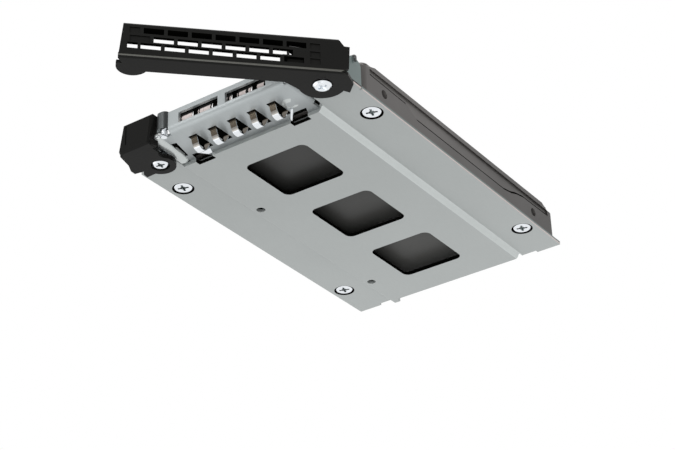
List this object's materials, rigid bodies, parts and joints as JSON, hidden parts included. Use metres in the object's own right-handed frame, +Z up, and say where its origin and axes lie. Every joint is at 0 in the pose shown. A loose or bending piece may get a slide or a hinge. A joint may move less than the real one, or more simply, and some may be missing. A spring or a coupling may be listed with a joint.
{
  "type": "hot-swap drive tray with drive",
  "caption": "Slide-in sheet-metal tray that carries a 2.5-inch drive, with a swing-out slotted handle, a push latch and grounding spring fingers at its front.",
  "frame": {"origin": "on the underside of the plate's pressed-down pan, on the centre line, on the web between the front and middle windows", "axes": "+Z up with the drive on top, -Y towards the handle, +Y towards the drive's connector, +X towards the handle's pivot"},
  "size_m": [0.074, 0.153, 0.014],
  "materials": {
    "zinc_plate": "galvanised, satin",
    "zinc_bracket": "galvanised, slightly bluish satin",
    "spring_steel": "bright stainless spring strip",
    "black_coat": "black powder coat, satin",
    "black_moulding": "moulded, satin black",
    "bright_zinc": "bright zinc plate",
    "dark_wire": "oiled spring wire",
    "bright_wire": "bright spring wire",
    "cast_aluminium": "dark coated casting",
    "cover_steel": "pressed cover, satin",
    "cover_screw": "plated screw",
    "board_green": "solder mask",
    "black_film": "dark insulating film",
    "black_connector": "moulded connector body",
    "gold_contact": "gold flash"
  },
  "bodies": {
    "tray": {"base_plate": "zinc_plate", "front_bracket": "zinc_bracket", "floor_springs": "spring_steel", "face_springs": "spring_steel", "handle_pivot_screw": "bright_zinc", "handle_spacer": "bright_zinc", "handle_pivot_nut": "bright_zinc", "handle_retaining_ring": "spring_steel", "handle_spring": "dark_wire", "latch_pivot_screw": "bright_zinc", "latch_spacer": "bright_zinc", "latch_pivot_nut": "bright_zinc", "latch_spring": "bright_wire", "spring_post": "bright_zinc", "drive_screws": "bright_zinc", "drive_casting": "cast_aluminium", "drive_cover": "cover_steel", "drive_cover_screws": "cover_screw", "drive_circuit_board": "board_green", "drive_insulator": "black_film", "drive_board_screws": "bright_zinc", "drive_connector": "black_connector", "drive_contacts": "gold_contact"},
    "handle": {"handle": "black_coat"},
    "latch": {"latch": "black_moulding"}
  },
  "joints": [
    {"name": "handle_swing", "type": "hinge", "parent": "tray", "child": "handle", "pos_m": [0.0305, -0.045, 0.004], "axis": [0, 0, 1], "range_deg": [-45.1, 0], "stiffness_Nm_per_rad": 0.01, "springref_deg": 17.19, "deforming": ["handle_spring"]},
    {"name": "latch_swing", "type": "hinge", "parent": "tray", "child": "latch", "pos_m": [-0.0249, -0.0403, 0], "axis": [0, 0, 1], "range_deg": [-10, 0], "stiffness_Nm_per_rad": 0.02, "springref_deg": 8.59, "deforming": ["latch_spring"]}
  ]
}
